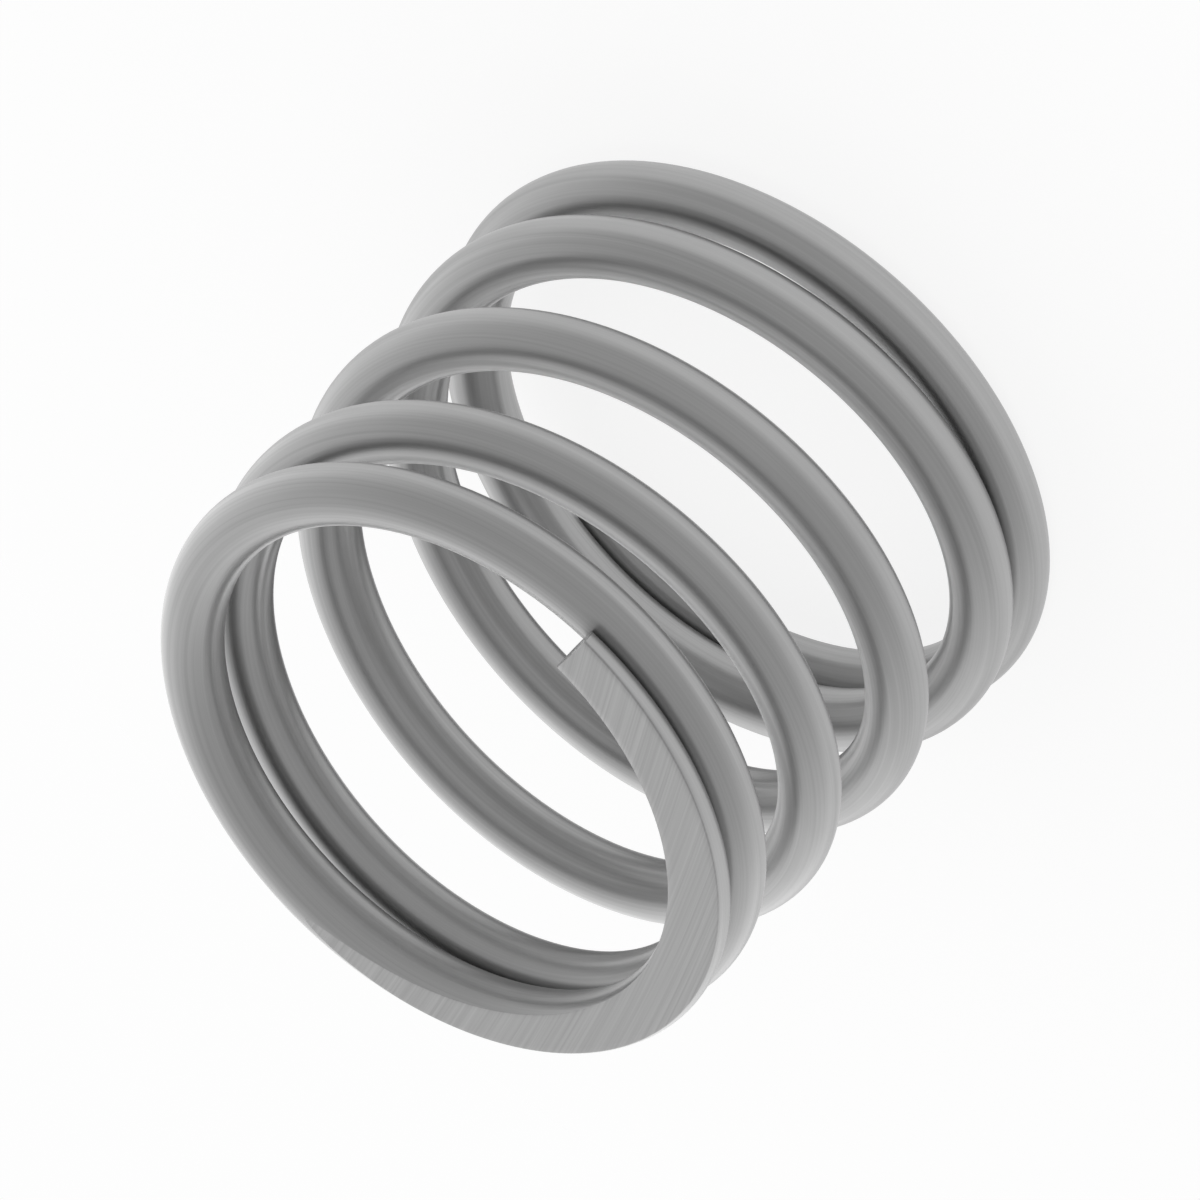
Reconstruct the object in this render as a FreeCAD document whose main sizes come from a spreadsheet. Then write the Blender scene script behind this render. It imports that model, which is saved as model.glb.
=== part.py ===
import FreeCAD, Part
import math
import os

# A compression spring: one round steel wire, wound right-hand on a straight mandrel. The turns at
# each end lie close and are ground flat, so the spring stands square. The axis is +Z, and the
# origin is on the axis in the plane of the bottom ground face. All lengths are in millimetres.

SIZES = (
    ("wire_diameter", 2.5, "diameter of the drawn wire"),
    ("outer_diameter", 27.0, "over the outside of the coils"),
    ("free_length", 24.0, "between the two ground faces, with no load"),
    ("total_turns", 5.53, "turns of wire from tip to tip"),
    ("closed_turns", 1.3, "turns wound close at each end"),
    ("opening_turns", 0.2, "turns over which the close winding opens to the wide one"),
    ("closed_gap", 0.05, "left between turns that are wound close"),
    ("tip_thickness", 1.25, "wire that the grinding leaves at each tip"),
)

document = FreeCAD.newDocument("CompressionSpring")
sheet = document.addObject("Spreadsheet::Sheet", "Sizes")
for row, (name, value, meaning) in enumerate(SIZES, start=1):
    sheet.set(f"A{row}", name)
    sheet.set(f"B{row}", str(value))
    sheet.setAlias(f"B{row}", name)
    sheet.set(f"C{row}", meaning)
document.recompute()


def coil_line_edge(sizes):
    """The wire's centre line, as one curve on the cylinder that runs through its middle.

    Unrolled, it is three straight runs, close, wide and close, and each bend between them is a
    parabola. So it is a quadratic spline, whose middle pole at a bend is where the runs meet.
    """
    turns = sizes.total_turns
    closed_end = sizes.closed_turns
    wide_start = closed_end + sizes.opening_turns
    bend = (closed_end + wide_start) / 2
    close_pitch = sizes.wire_diameter + sizes.closed_gap
    tip_height = sizes.tip_thickness - sizes.wire_diameter / 2

    lower_end = [(turn, tip_height + close_pitch * turn) for turn in (0, closed_end / 2, bend)]
    middle = [(turns / 2, sizes.free_length / 2)]
    upper_end = [(turns - turn, sizes.free_length - height) for turn, height in reversed(lower_end)]
    poles = [
        FreeCAD.Base.Vector2d(2 * math.pi * turn, height)
        for turn, height in lower_end + middle + upper_end
    ]
    knots = [0, closed_end, wide_start, turns - wide_start, turns - closed_end, turns]
    unrolled = Part.Geom2d.BSplineCurve2d()
    unrolled.buildFromPolesMultsKnots(poles, [3, 1, 1, 1, 1, 3], knots, False, 2)

    winding_cylinder = Part.Cylinder()
    winding_cylinder.Radius = (sizes.outer_diameter - sizes.wire_diameter) / 2
    return unrolled.toShape(winding_cylinder)


coil_line = document.addObject("Part::Feature", "coil_line")
coil_line.Label = "coil_line"
coil_line.Shape = coil_line_edge(sheet)

# The wire's round section stands square to the line at the bottom tip. It starts and ends on the
# inside of the coil, above the middle, so the join along the wire stays clear of the grinding.
JOIN_ANGLE = 120
wire_section = document.addObject("Part::Circle", "wire_section")
wire_section.Label = "wire_section"
wire_section.setExpression("Radius", "Sizes.wire_diameter / 2")
wire_section.AttachmentSupport = [(coil_line, "Edge1")]
wire_section.MapMode = "NormalToEdge"
wire_section.MapPathParameter = 0
wire_section.AttachmentOffset = FreeCAD.Placement(
    FreeCAD.Vector(0, 0, 0), FreeCAD.Rotation(FreeCAD.Vector(0, 0, 1), JOIN_ANGLE)
)
document.recompute()

wound_wire = document.addObject("Part::Sweep", "wound_wire")
wound_wire.Label = "wound_wire"
wound_wire.Sections = [wire_section]
wound_wire.Spine = (coil_line, ["Edge1"])
wound_wire.Solid = True
wound_wire.Frenet = True

# Grinding takes off what lies outside the free length at each end.
kept_by_grinding = document.addObject("Part::Cylinder", "kept_by_grinding")
kept_by_grinding.Label = "kept_by_grinding"
kept_by_grinding.setExpression("Radius", "Sizes.outer_diameter")
kept_by_grinding.setExpression("Height", "Sizes.free_length")

spring = document.addObject("Part::Common", "compression_spring")
spring.Label = "compression_spring"
spring.Base = wound_wire
spring.Tool = kept_by_grinding
document.recompute()

for item in document.Objects:
    if "Invalid" in item.State or "Error" in item.State:
        raise RuntimeError(f"{item.Label} did not compute: {item.State}")
if spring.Shape.isNull() or not spring.Shape.isValid() or len(spring.Shape.Solids) != 1:
    raise RuntimeError("the spring is not one valid solid")

full_wire = math.pi * (sheet.wire_diameter / 2) ** 2 * coil_line.Shape.Length
print(f"developed length {coil_line.Shape.Length:.2f} mm")
print(f"swept {wound_wire.Shape.Volume:.2f} mm3, section times length {full_wire:.2f} mm3")
print(f"spring {spring.Shape.Volume:.2f} mm3")

os.makedirs("parts", exist_ok=True)
spring.Shape.exportStep(f"parts/{spring.Label}.step")
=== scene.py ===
import math

import bmesh
import bpy
import numpy as np
from mathutils import Matrix, Vector


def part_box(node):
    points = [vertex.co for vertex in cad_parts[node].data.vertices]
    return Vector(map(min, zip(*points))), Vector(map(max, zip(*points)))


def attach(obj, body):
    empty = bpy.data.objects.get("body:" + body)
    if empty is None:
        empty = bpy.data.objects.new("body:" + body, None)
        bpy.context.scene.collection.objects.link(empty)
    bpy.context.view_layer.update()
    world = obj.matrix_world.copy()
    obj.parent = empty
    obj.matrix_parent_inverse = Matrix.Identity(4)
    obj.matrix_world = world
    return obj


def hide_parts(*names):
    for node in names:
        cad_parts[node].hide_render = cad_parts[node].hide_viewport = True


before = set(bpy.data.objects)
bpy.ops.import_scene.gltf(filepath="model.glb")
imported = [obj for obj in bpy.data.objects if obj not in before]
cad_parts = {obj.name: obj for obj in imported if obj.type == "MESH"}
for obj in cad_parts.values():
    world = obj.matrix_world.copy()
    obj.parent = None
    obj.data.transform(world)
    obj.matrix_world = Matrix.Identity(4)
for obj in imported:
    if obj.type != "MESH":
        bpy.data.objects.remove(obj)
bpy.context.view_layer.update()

# Compression spring
# One length of round spring steel wire, drawn cold through dies and wound right-hand on a coiling
# machine. The last turns at each end lie close, and a grinder has cut them flat across, so that the
# spring stands square.

MM = 0.001
WIRE_DIAMETER = 2.5 * MM
TOTAL_TURNS = 5.53
CLOSED_TURNS = 1.3
OPENING_TURNS = 0.2
CLOSED_GAP = 0.05 * MM
TIP_THICKNESS = 1.25 * MM
GROUND_EDGE_BREAK = 0.06 * MM
TIP_EDGE_BREAK = 0.04 * MM

spring_low, spring_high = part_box("compression_spring")
free_length = spring_high.z - spring_low.z
wire_radius = WIRE_DIAMETER / 2
coil_radius = (spring_high.x - spring_low.x) / 2 - wire_radius

# Pitch is how far the wire climbs in a turn. It is one wire where the turns lie close, and the wide
# pitch is what then makes up the free length.
tip_height = TIP_THICKNESS - wire_radius
close_pitch = WIRE_DIAMETER + CLOSED_GAP
bend_turn = CLOSED_TURNS + OPENING_TURNS / 2
close_height = tip_height + close_pitch * bend_turn
wide_pitch = (free_length - 2 * close_height) / (TOTAL_TURNS - 2 * bend_turn)

# The mesh is rings of points along the wire. Only the lower half is worked out. Its first rings
# round off the edge of the cropped tip, the next ones carry the ground flat, a crescent, and crowd
# together where the crescent runs out to a point, and the rest are whole circles.
RINGS_PER_TURN = 160
CRESCENT_RINGS = 120
CRESCENT_CROWDING = 1.5
TIP_EDGE_RINGS = 3

turn_run = 2 * math.pi * coil_radius
close_cosine = 1 / math.hypot(1, close_pitch / turn_run)
crescent_turns = (wire_radius * close_cosine - tip_height) / close_pitch
tip_edge_turns = TIP_EDGE_BREAK / turn_run
tip_angle = np.linspace(math.pi / 2, 0, TIP_EDGE_RINGS, endpoint=False)
tip_turns = tip_edge_turns * (1 - np.sin(tip_angle))
to_point = np.linspace(1, 0, CRESCENT_RINGS) ** CRESCENT_CROWDING
crescent_ring_turns = crescent_turns + (tip_edge_turns - crescent_turns) * to_point
circle_rings = round((TOTAL_TURNS / 2 - crescent_turns) * RINGS_PER_TURN)
circle_turns = np.linspace(crescent_turns, TOTAL_TURNS / 2, circle_rings + 1)[1:]
turns = np.concatenate([tip_turns, crescent_ring_turns, circle_turns])
insets = np.zeros((len(turns), 1))
insets[:TIP_EDGE_RINGS, 0] = TIP_EDGE_BREAK * (1 - np.cos(tip_angle))

# How high the middle of the wire lies at each ring, and how steeply it climbs.
opened = np.clip(turns - CLOSED_TURNS, 0, OPENING_TURNS)
wide = np.clip(turns - CLOSED_TURNS - OPENING_TURNS, 0, None)
heights = tip_height + close_pitch * turns
heights += (wide_pitch - close_pitch) * (opened ** 2 / (2 * OPENING_TURNS) + wide)
slopes = (close_pitch + (wide_pitch - close_pitch) * opened / OPENING_TURNS) / turn_run
cosines = 1 / np.hypot(1, slopes)
sines = slopes * cosines

# The outline of each ring, outward and upward from the middle of the wire: the round of the wire,
# the broken inner edge, the ground flat and the broken outer edge. The lean is the angle below the
# level at which the round stops. It reaches a right angle where the flat ends, and there the two
# edges and the flat close up to one point.
ROUND_COLUMNS = 56
EDGE_COLUMNS = 3
FLAT_COLUMNS = 8

edge_middle = wire_radius - GROUND_EDGE_BREAK
over_flat = np.minimum(heights / cosines, wire_radius)[:, None]
lean = np.arcsin(np.clip((over_flat - GROUND_EDGE_BREAK) / edge_middle, -1, 1))
round_share = np.linspace(0, 1, ROUND_COLUMNS + 1)
edge_share = np.linspace(0, 1, EDGE_COLUMNS + 1)
flat_share = np.linspace(-1, 1, FLAT_COLUMNS + 1)[1:]
round_angle = -lean + (math.pi + 2 * lean) * round_share
inner_angle = math.pi + lean + (math.pi / 2 - lean) * edge_share[1:]
outer_angle = -math.pi / 2 + (math.pi / 2 - lean) * edge_share[1:-1]
round_radius = wire_radius - insets
edge_radius = GROUND_EDGE_BREAK - insets
outward = np.hstack([
    round_radius * np.cos(round_angle),
    edge_radius * np.cos(inner_angle) - edge_middle * np.cos(lean),
    edge_middle * np.cos(lean) * flat_share,
    edge_radius * np.cos(outer_angle) + edge_middle * np.cos(lean),
])
upward = np.hstack([
    round_radius * np.sin(round_angle),
    edge_radius * np.sin(inner_angle) - edge_middle * np.sin(lean),
    insets - over_flat + 0 * flat_share,
    edge_radius * np.sin(outer_angle) - edge_middle * np.sin(lean),
])

# Each ring stands square to the wire on the coil. Its points also keep their place on the wire as
# it was before coiling: outward, upward and along. The finishes follow that straight wire.
angle = 2 * math.pi * turns
out_of_coil = np.stack([np.cos(angle), np.sin(angle), 0 * angle], axis=1)
up_from_wire = np.stack([sines * np.sin(angle), -sines * np.cos(angle), cosines], axis=1)
middle = coil_radius * out_of_coil + np.outer(spring_low.z + heights, (0, 0, 1))
lower_points = (
    middle[:, None]
    + outward[:, :, None] * out_of_coil[:, None]
    + upward[:, :, None] * up_from_wire[:, None]
)
along = np.concatenate([[0], np.cumsum(np.diff(turns) * turn_run / cosines[1:])])[:, None]
lower_place = np.stack([outward, upward, along + 0 * outward], axis=2)

# The upper half is the lower one turned over, about a level line through the middle of the spring.
half_turn = math.pi * TOTAL_TURNS
turning_line = np.array([math.cos(half_turn), math.sin(half_turn), 0])
centre = np.array([0, 0, spring_low.z + free_length / 2])
from_centre = lower_points - centre
upper_points = centre + 2 * (from_centre @ turning_line)[..., None] * turning_line - from_centre
upper_place = lower_place * (1, -1, -1) + (0, 0, 2 * along[-1, 0])

# A flat map of the skin, for finishes that are baked. The wire is unrolled and cut into strips, which
# lie one above the other in a square. The lower half's tip is at the foot of the square, with its
# strips above it, up to half of the middle one. The upper half's part is the same, turned half round.
STRIPS = 7
MAP_MARGIN = 0.6 * MM
rings, columns = outward.shape
strip_length = 2 * along[-1, 0] / STRIPS
strip_pitch = 2 * math.pi * wire_radius + MAP_MARGIN
tip_band = TIP_THICKNESS + MAP_MARGIN
map_side = STRIPS * strip_pitch + MAP_MARGIN + 2 * tip_band
around_steps = np.hypot(
    np.roll(outward, -1, axis=1) - outward,
    np.roll(upward, -1, axis=1) - upward,
)
around = np.hstack([np.zeros((rings, 1)), np.cumsum(around_steps, axis=1)])

# The faces of the lower half: one across the cropped tip, and those between rings.
DRAWN, GROUND, CROPPED = 0, 1, 2      # the order in which the materials below are added
faces = [list(range(columns))]
finishes = [CROPPED]
on_map = [(wire_radius + x, over_flat[0, 0] + y) for x, y in zip(outward[0], upward[0])]
for ring in range(rings - 1):
    strip = int(along[ring, 0] / strip_length)
    for column in range(columns):
        beside = (column + 1) % columns
        start, ahead = ring * columns, (ring + 1) * columns
        faces.append([start + column, ahead + column, ahead + beside, start + beside])
        finish = DRAWN if column < ROUND_COLUMNS else GROUND
        finishes.append(CROPPED if ring < TIP_EDGE_RINGS else finish)
        corners = ((ring, column), (ring + 1, column), (ring + 1, column + 1), (ring, column + 1))
        for corner_ring, corner_column in corners:
            run = along[corner_ring, 0] - strip * strip_length
            on_map.append((run, tip_band + strip * strip_pitch + around[corner_ring, corner_column]))

# The upper half has the same faces.
upper_faces = [[rings * columns + point for point in face] for face in faces]
lower_on_map = (np.array(on_map) + MAP_MARGIN) / map_side
mesh = bpy.data.meshes.new("wound_wire")
spring_points = np.concatenate([lower_points, upper_points]).reshape(-1, 3)
mesh.from_pydata(spring_points.tolist(), [], faces + upper_faces)
mesh.polygons.foreach_set("material_index", finishes + finishes)
skin_map = mesh.uv_layers.new(name="OFBake")
skin_map.uv.foreach_set("vector", np.concatenate([lower_on_map, 1 - lower_on_map]).ravel())
wire_place = mesh.attributes.new("wire_place", "FLOAT_VECTOR", "POINT")
spring_places = np.concatenate([lower_place, upper_place])
wire_place.data.foreach_set("vector", spring_places.astype(np.float32).ravel())

# The two halves meet at their middle ring, and each crescent closes at its point.
WELD = 0.0001 * MM
welding = bmesh.new()
welding.from_mesh(mesh)
bmesh.ops.remove_doubles(welding, verts=welding.verts, dist=WELD)
welding.to_mesh(mesh)
welding.free()
mesh.shade_smooth()

spring = bpy.data.objects.new("wound_wire", mesh)
bpy.context.scene.collection.objects.link(spring)
spring.modifiers.new("flat_faces_shade_flat", "WEIGHTED_NORMAL")


def linear(hex_colour):
    """An sRGB colour such as "#9f9f9f" as linear red, green, blue and alpha."""
    written = [int(hex_colour[i:i + 2], 16) / 255 for i in (1, 3, 5)]
    light = [c / 12.92 if c <= 0.04045 else ((c + 0.055) / 1.055) ** 2.4 for c in written]
    return (*light, 1.0)


def add_node(tree, kind, settings, inputs):
    """Adds a node to a tree. Each input is given a value, or the output that feeds it.

    Inputs that share a name go by number. A colour mix has its share at 0, its two colours at 6 and
    7, and the mixed colour at output 2.
    """
    node = tree.nodes.new(kind)
    for name, value in settings.items():
        setattr(node, name, value)
    for name, value in inputs.items():
        if isinstance(value, bpy.types.NodeSocket):
            tree.links.new(value, node.inputs[name])
        else:
            node.inputs[name].default_value = value
    return node


# Drawn spring steel: patented carbon steel wire, pulled cold through dies. The eye sees a grey satin
# with fine lines along the wire, soft cloudy patches where the drawing soap has burnt on unevenly,
# and along the outside of the coil the faint bright track that the coiling points rub.
DIE_LINE_SPACING = 0.11 * MM      # real lines are 0.02 to 0.05 mm apart, too fine to show
DIE_LINE_LENGTH = 30 * MM
DIE_LINE_DEPTH = 0.0008 * MM
CLOUD_WIDTH = 2.2 * MM
CLOUD_LENGTH = 9 * MM
DIE_LINE_COLOURS = ("#a6a6a6", "#b4b4b4")
CLOUD_TINT = "#f4f4f4"
CLOUD_ROUGHNESSES = (0.31, 0.42)
RUBBED_FROM = 0.88 * wire_radius
RUBBED_FULLY = 0.99 * wire_radius
RUBBED_SHARE = 0.2
RUBBED_COLOUR = "#bababa"
RUBBED_POLISH = 0.06
NOISE_LOW, NOISE_HIGH = 0.25, 0.75      # a noise lies mostly between these

drawn = bpy.data.materials.new("drawn_spring_steel")
drawn.use_nodes = True
tree = drawn.node_tree
tree.nodes.clear()
place = add_node(tree, "ShaderNodeAttribute", {"attribute_name": "wire_place"}, {})
line_place = add_node(tree, "ShaderNodeVectorMath", {"operation": "DIVIDE"}, {
    0: place.outputs["Vector"],
    1: (DIE_LINE_SPACING, DIE_LINE_SPACING, DIE_LINE_LENGTH),
})
die_lines = add_node(tree, "ShaderNodeTexNoise", {}, {
    "Vector": line_place.outputs["Vector"],
    "Scale": 1.0,
    "Detail": 2.0,
    "Roughness": 0.6,
})
cloud_place = add_node(tree, "ShaderNodeVectorMath", {"operation": "DIVIDE"}, {
    0: place.outputs["Vector"],
    1: (CLOUD_WIDTH, CLOUD_WIDTH, CLOUD_LENGTH),
})
clouds = add_node(tree, "ShaderNodeTexNoise", {}, {
    "Vector": cloud_place.outputs["Vector"],
    "Scale": 1.0,
    "Detail": 3.0,
    "Roughness": 0.55,
})
place_parts = add_node(tree, "ShaderNodeSeparateXYZ", {}, {"Vector": place.outputs["Vector"]})
rubbed = add_node(tree, "ShaderNodeMapRange", {"interpolation_type": "SMOOTHSTEP"}, {
    "Value": place_parts.outputs["X"],
    "From Min": RUBBED_FROM,
    "From Max": RUBBED_FULLY,
    "To Max": RUBBED_SHARE,
})
line_tone = add_node(tree, "ShaderNodeMapRange", {}, {
    "Value": die_lines.outputs["Fac"],
    "From Min": NOISE_LOW,
    "From Max": NOISE_HIGH,
})
drawn_colour = add_node(tree, "ShaderNodeMix", {"data_type": "RGBA"}, {
    0: line_tone.outputs["Result"],
    6: linear(DIE_LINE_COLOURS[0]),
    7: linear(DIE_LINE_COLOURS[1]),
})
clouded_colour = add_node(tree, "ShaderNodeMix", {"data_type": "RGBA", "blend_type": "MULTIPLY"}, {
    0: clouds.outputs["Fac"],
    6: drawn_colour.outputs[2],
    7: linear(CLOUD_TINT),
})
wire_colour = add_node(tree, "ShaderNodeMix", {"data_type": "RGBA"}, {
    0: rubbed.outputs["Result"],
    6: clouded_colour.outputs[2],
    7: linear(RUBBED_COLOUR),
})
cloud_roughness = add_node(tree, "ShaderNodeMapRange", {}, {
    "Value": clouds.outputs["Fac"],
    "From Min": NOISE_LOW,
    "From Max": NOISE_HIGH,
    "To Min": CLOUD_ROUGHNESSES[0],
    "To Max": CLOUD_ROUGHNESSES[1],
})
wire_roughness = add_node(tree, "ShaderNodeMath", {"operation": "MULTIPLY_ADD"}, {
    0: rubbed.outputs["Result"],
    1: -RUBBED_POLISH,
    2: cloud_roughness.outputs["Result"],
})
line_relief = add_node(tree, "ShaderNodeBump", {}, {
    "Strength": 1.0,
    "Distance": DIE_LINE_DEPTH,
    "Height": die_lines.outputs["Fac"],
})
metal = add_node(tree, "ShaderNodeBsdfPrincipled", {}, {
    "Base Color": wire_colour.outputs[2],
    "Metallic": 1.0,
    "Roughness": wire_roughness.outputs["Value"],
    "Normal": line_relief.outputs["Normal"],
})
add_node(tree, "ShaderNodeOutputMaterial", {}, {"Surface": metal.outputs["BSDF"]})
mesh.materials.append(drawn)

# Ground spring steel: the spring passes between two wide grinding wheels, one for each end. The eye
# sees a flat, fresh face, crossed by fine lines that curve a little, as parts of the wheel's circle.
WHEEL_RADIUS = 110 * MM
WHEEL_DIRECTION = math.radians(-65)
GRIT_LINE_SPACING = 0.1 * MM      # real grit leaves lines about 0.05 mm apart, too fine to show
GRIT_LINE_LENGTH = 14 * MM
GRIT_LINE_DEPTH = 0.0008 * MM
GRIT_LINE_COLOURS = ("#9a9a9a", "#a9a9a9")
GRIT_LINE_ROUGHNESSES = (0.39, 0.29)

wheel_centre = Vector((math.cos(WHEEL_DIRECTION), math.sin(WHEEL_DIRECTION), 0)) * WHEEL_RADIUS
ground = bpy.data.materials.new("ground_spring_steel")
ground.use_nodes = True
tree = ground.node_tree
tree.nodes.clear()
own_place = add_node(tree, "ShaderNodeTexCoord", {}, {})
from_wheel = add_node(tree, "ShaderNodeVectorMath", {"operation": "SUBTRACT"}, {
    0: own_place.outputs["Object"],
    1: wheel_centre,
})
from_wheel_parts = add_node(tree, "ShaderNodeSeparateXYZ", {}, {
    "Vector": from_wheel.outputs["Vector"],
})
level_from_wheel = add_node(tree, "ShaderNodeVectorMath", {"operation": "MULTIPLY"}, {
    0: from_wheel.outputs["Vector"],
    1: (1, 1, 0),
})
wheel_distance = add_node(tree, "ShaderNodeVectorMath", {"operation": "LENGTH"}, {
    0: level_from_wheel.outputs["Vector"],
})
arc_place = add_node(tree, "ShaderNodeCombineXYZ", {}, {
    "X": wheel_distance.outputs["Value"],
    "Y": from_wheel_parts.outputs["X"],
    "Z": from_wheel_parts.outputs["Z"],
})
grit_place = add_node(tree, "ShaderNodeVectorMath", {"operation": "DIVIDE"}, {
    0: arc_place.outputs["Vector"],
    1: (GRIT_LINE_SPACING, GRIT_LINE_LENGTH, GRIT_LINE_LENGTH),
})
grit_lines = add_node(tree, "ShaderNodeTexNoise", {}, {
    "Vector": grit_place.outputs["Vector"],
    "Scale": 1.0,
    "Detail": 2.0,
    "Roughness": 0.65,
})
grit_tone = add_node(tree, "ShaderNodeMapRange", {}, {
    "Value": grit_lines.outputs["Fac"],
    "From Min": NOISE_LOW,
    "From Max": NOISE_HIGH,
})
ground_colour = add_node(tree, "ShaderNodeMix", {"data_type": "RGBA"}, {
    0: grit_tone.outputs["Result"],
    6: linear(GRIT_LINE_COLOURS[0]),
    7: linear(GRIT_LINE_COLOURS[1]),
})
ground_roughness = add_node(tree, "ShaderNodeMapRange", {}, {
    "Value": grit_lines.outputs["Fac"],
    "From Min": NOISE_LOW,
    "From Max": NOISE_HIGH,
    "To Min": GRIT_LINE_ROUGHNESSES[0],
    "To Max": GRIT_LINE_ROUGHNESSES[1],
})
grit_relief = add_node(tree, "ShaderNodeBump", {}, {
    "Strength": 1.0,
    "Distance": GRIT_LINE_DEPTH,
    "Height": grit_lines.outputs["Fac"],
})
metal = add_node(tree, "ShaderNodeBsdfPrincipled", {}, {
    "Base Color": ground_colour.outputs[2],
    "Metallic": 1.0,
    "Roughness": ground_roughness.outputs["Result"],
    "Normal": grit_relief.outputs["Normal"],
})
add_node(tree, "ShaderNodeOutputMaterial", {}, {"Surface": metal.outputs["BSDF"]})
mesh.materials.append(ground)

# Cropped spring steel: the coiling machine's cutter shears the wire off at each tip. The eye sees a
# smooth sheared band on the outer side, where the cutter came in, and then a duller torn grain.
TORN_FROM = 0.35 * MM       # outward of the wire's middle, and nearer by up to the wander
TORN_FULLY = 0.15 * MM
TORN_WANDER = 0.3 * MM
TEAR_SIZE = 0.3 * MM
TEAR_DEPTH = 0.02 * MM
SHEARED_COLOUR = "#a4a4a4"
SHEARED_ROUGHNESS = 0.27
TORN_COLOUR = "#8e8e8e"
TORN_ROUGHNESS = 0.45

cropped = bpy.data.materials.new("cropped_spring_steel")
cropped.use_nodes = True
tree = cropped.node_tree
tree.nodes.clear()
place = add_node(tree, "ShaderNodeAttribute", {"attribute_name": "wire_place"}, {})
place_parts = add_node(tree, "ShaderNodeSeparateXYZ", {}, {"Vector": place.outputs["Vector"]})
grain = add_node(tree, "ShaderNodeTexNoise", {}, {
    "Vector": place.outputs["Vector"],
    "Scale": 1 / TEAR_SIZE,
    "Detail": 3.0,
    "Roughness": 0.6,
})
ragged = add_node(tree, "ShaderNodeMath", {"operation": "MULTIPLY_ADD"}, {
    0: grain.outputs["Fac"],
    1: TORN_WANDER,
    2: place_parts.outputs["X"],
})
torn = add_node(tree, "ShaderNodeMapRange", {"interpolation_type": "SMOOTHSTEP"}, {
    "Value": ragged.outputs["Value"],
    "From Min": TORN_FULLY,
    "From Max": TORN_FROM,
    "To Min": 1.0,
    "To Max": 0.0,
})
cropped_colour = add_node(tree, "ShaderNodeMix", {"data_type": "RGBA"}, {
    0: torn.outputs["Result"],
    6: linear(SHEARED_COLOUR),
    7: linear(TORN_COLOUR),
})
cropped_roughness = add_node(tree, "ShaderNodeMapRange", {}, {
    "Value": torn.outputs["Result"],
    "To Min": SHEARED_ROUGHNESS,
    "To Max": TORN_ROUGHNESS,
})
tear_height = add_node(tree, "ShaderNodeMath", {"operation": "MULTIPLY"}, {
    0: grain.outputs["Fac"],
    1: torn.outputs["Result"],
})
tear_relief = add_node(tree, "ShaderNodeBump", {}, {
    "Strength": 1.0,
    "Distance": TEAR_DEPTH,
    "Height": tear_height.outputs["Value"],
})
metal = add_node(tree, "ShaderNodeBsdfPrincipled", {}, {
    "Base Color": cropped_colour.outputs[2],
    "Metallic": 1.0,
    "Roughness": cropped_roughness.outputs["Result"],
    "Normal": tear_relief.outputs["Normal"],
})
add_node(tree, "ShaderNodeOutputMaterial", {}, {"Surface": metal.outputs["BSDF"]})
mesh.materials.append(cropped)

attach(spring, "root")
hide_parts("compression_spring")

# Camera
# It looks down on the upper ground face from far off, with no perspective, and leans well over to
# one side, so that the standing spring seems to lie across the picture.

VIEW_AZIMUTH = math.radians(-76.34)
VIEW_ELEVATION = math.radians(36.55)
VIEW_LEAN = math.radians(136.77)
VIEW_HEIGHT = 46.85 * MM
VIEW_DISTANCE = 250 * MM

towards_camera = Vector((
    math.sin(VIEW_AZIMUTH) * math.cos(VIEW_ELEVATION),
    -math.cos(VIEW_AZIMUTH) * math.cos(VIEW_ELEVATION),
    math.sin(VIEW_ELEVATION),
))
level_right = Vector((math.cos(VIEW_AZIMUTH), math.sin(VIEW_AZIMUTH), 0))
level_up = towards_camera.cross(level_right)
right = level_right * math.cos(VIEW_LEAN) - level_up * math.sin(VIEW_LEAN)
up = level_right * math.sin(VIEW_LEAN) + level_up * math.cos(VIEW_LEAN)
camera_data = bpy.data.cameras.new("camera")
camera_data.type = "ORTHO"
camera_data.ortho_scale = VIEW_HEIGHT
camera = bpy.data.objects.new("camera", camera_data)
camera.matrix_world = (
    Matrix.Translation(Vector(centre) + towards_camera * VIEW_DISTANCE)
    @ Matrix((right, up, towards_camera)).transposed().to_4x4()
)
bpy.context.scene.collection.objects.link(camera)
bpy.context.scene.camera = camera

# Floor
# A small round board, pale and matt. What looks at it, straight or mirrored in metal, sees it glow
# towards white, and the rest of its light is the tent's, so the spring still shades it a little. Past
# its edge, which doesn't show, the wire mirrors the tent.

FLOOR_RADIUS = 45 * MM
FLOOR_CORNERS = 128
BOARD_COLOUR = "#f8f8f8"
WHITE = "#ffffff"
GLOW_SHARE = 0.75
GLOW = 1.09     # makes up for the tent's dim side, and an unshaded board comes out just under white

floor_angles = [2 * math.pi * corner / FLOOR_CORNERS for corner in range(FLOOR_CORNERS)]
floor_corners = [
    (FLOOR_RADIUS * math.cos(floor_angle), FLOOR_RADIUS * math.sin(floor_angle), spring_low.z)
    for floor_angle in floor_angles
]
floor_mesh = bpy.data.meshes.new("floor")
floor_mesh.from_pydata(floor_corners, [], [range(FLOOR_CORNERS)])
floor = bpy.data.objects.new("floor", floor_mesh)
bpy.context.scene.collection.objects.link(floor)

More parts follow.
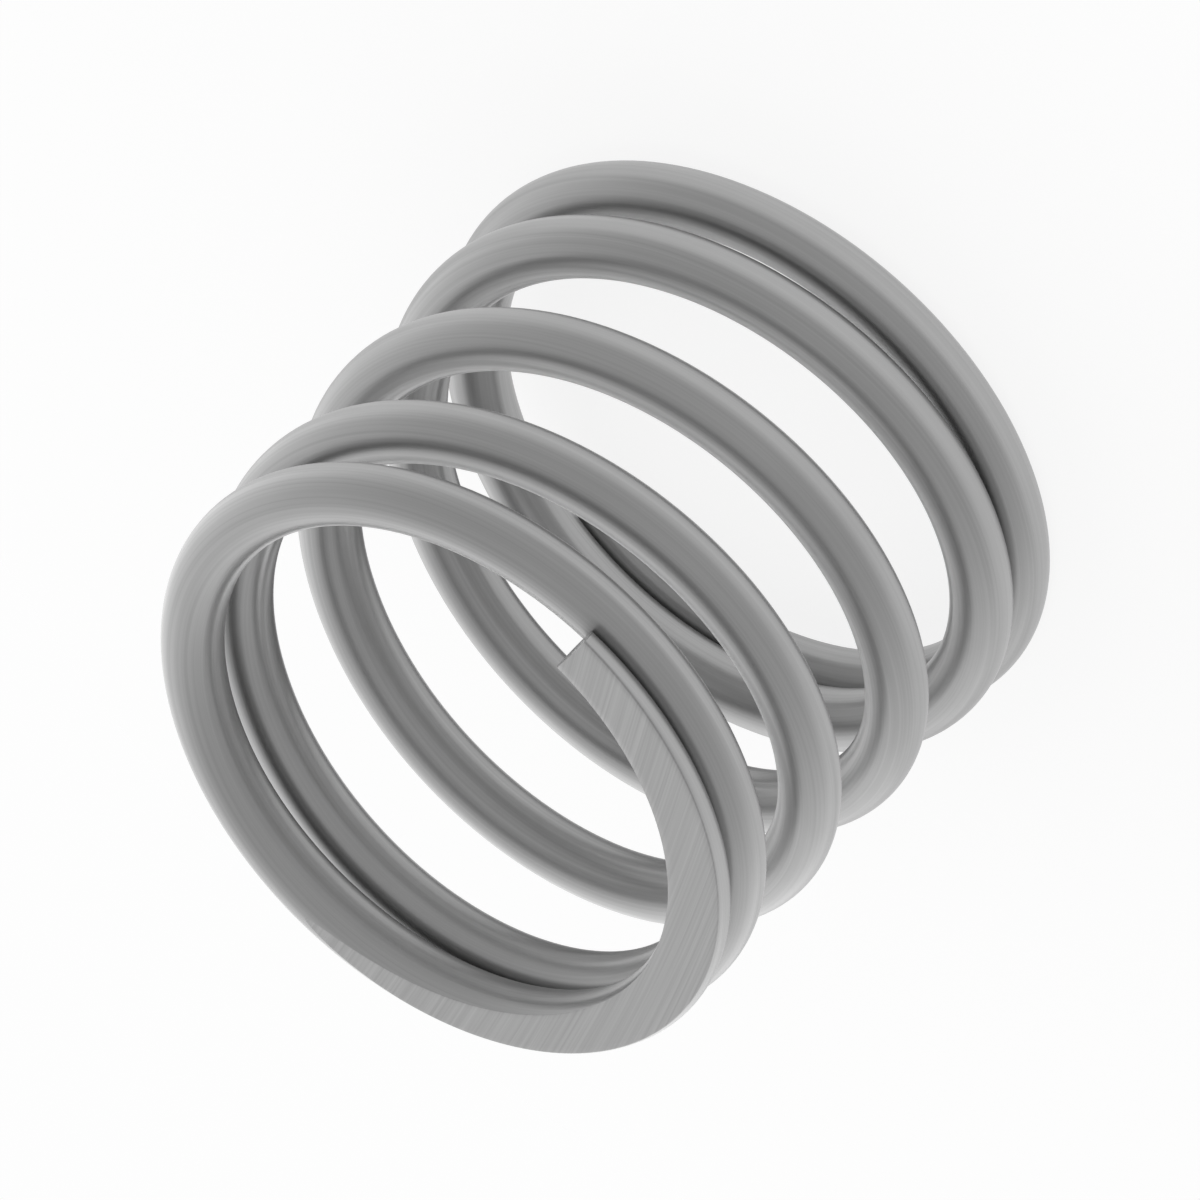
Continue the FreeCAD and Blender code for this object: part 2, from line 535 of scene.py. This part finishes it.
board = bpy.data.materials.new("pale_matt_board")
board.use_nodes = True
tree = board.node_tree
tree.nodes.clear()
ray = add_node(tree, "ShaderNodeLightPath", {}, {})
seen_or_mirrored = add_node(tree, "ShaderNodeMath", {"operation": "MAXIMUM"}, {
    0: ray.outputs["Is Camera Ray"],
    1: ray.outputs["Is Glossy Ray"],
})
looked_at = add_node(tree, "ShaderNodeMath", {"operation": "MAXIMUM"}, {
    0: seen_or_mirrored.outputs["Value"],
    1: ray.outputs["Is Transmission Ray"],
})
glow_share = add_node(tree, "ShaderNodeMath", {"operation": "MULTIPLY"}, {
    0: looked_at.outputs["Value"],
    1: GLOW_SHARE,
})
matt = add_node(tree, "ShaderNodeBsdfDiffuse", {}, {"Color": linear(BOARD_COLOUR)})
glow = add_node(tree, "ShaderNodeEmission", {}, {"Color": linear(WHITE), "Strength": GLOW})
pale = add_node(tree, "ShaderNodeMixShader", {}, {
    0: glow_share.outputs["Value"],
    1: matt.outputs["BSDF"],
    2: glow.outputs["Emission"],
})
add_node(tree, "ShaderNodeOutputMaterial", {}, {"Surface": pale.outputs["Shader"]})
floor_mesh.materials.append(board)

# Light
# A white tent all round, lit from behind the spring, so it is dimmer on the camera's side. Metal
# mirrors it as it is, which makes the wire grey in the middle and pale at its edges, and the camera
# sees it plain and near white. The brightnesses average just under one.

TENT_SEEN = 0.985           # as bright as the board is where nothing shades it
TENT_BEHIND_SPRING = 1.82
TENT_BEHIND_CAMERA = 0.61
TENT_BRIGHT_FROM = -1.6     # past straight behind the spring, at -1, where the light still rises
TENT_DIM_FROM = 0.6         # straight behind the camera is at 1

tent = bpy.data.worlds.new("white_tent")
bpy.context.scene.world = tent
tent.use_nodes = True
tree = tent.node_tree
tree.nodes.clear()
sky = add_node(tree, "ShaderNodeTexCoord", {}, {})
camera_side = add_node(tree, "ShaderNodeVectorMath", {"operation": "DOT_PRODUCT"}, {
    0: sky.outputs["Generated"],
    1: towards_camera,
})
tent_light = add_node(tree, "ShaderNodeMapRange", {"interpolation_type": "SMOOTHSTEP"}, {
    "Value": camera_side.outputs["Value"],
    "From Min": TENT_BRIGHT_FROM,
    "From Max": TENT_DIM_FROM,
    "To Min": TENT_BEHIND_SPRING,
    "To Max": TENT_BEHIND_CAMERA,
})
ray = add_node(tree, "ShaderNodeLightPath", {}, {})
tent_strength = add_node(tree, "ShaderNodeMix", {}, {
    "Factor": ray.outputs["Is Camera Ray"],
    "A": tent_light.outputs["Result"],
    "B": TENT_SEEN,
})
cloth = add_node(tree, "ShaderNodeBackground", {}, {
    "Color": linear(WHITE),
    "Strength": tent_strength.outputs["Result"],
})
add_node(tree, "ShaderNodeOutputWorld", {}, {"Surface": cloth.outputs["Background"]})

# Light passes from turn to turn many times before it leaves a close winding.
MIRRORINGS = 12
bpy.context.scene.cycles.glossy_bounces = MIRRORINGS
bpy.context.scene.view_settings.view_transform = "Standard"
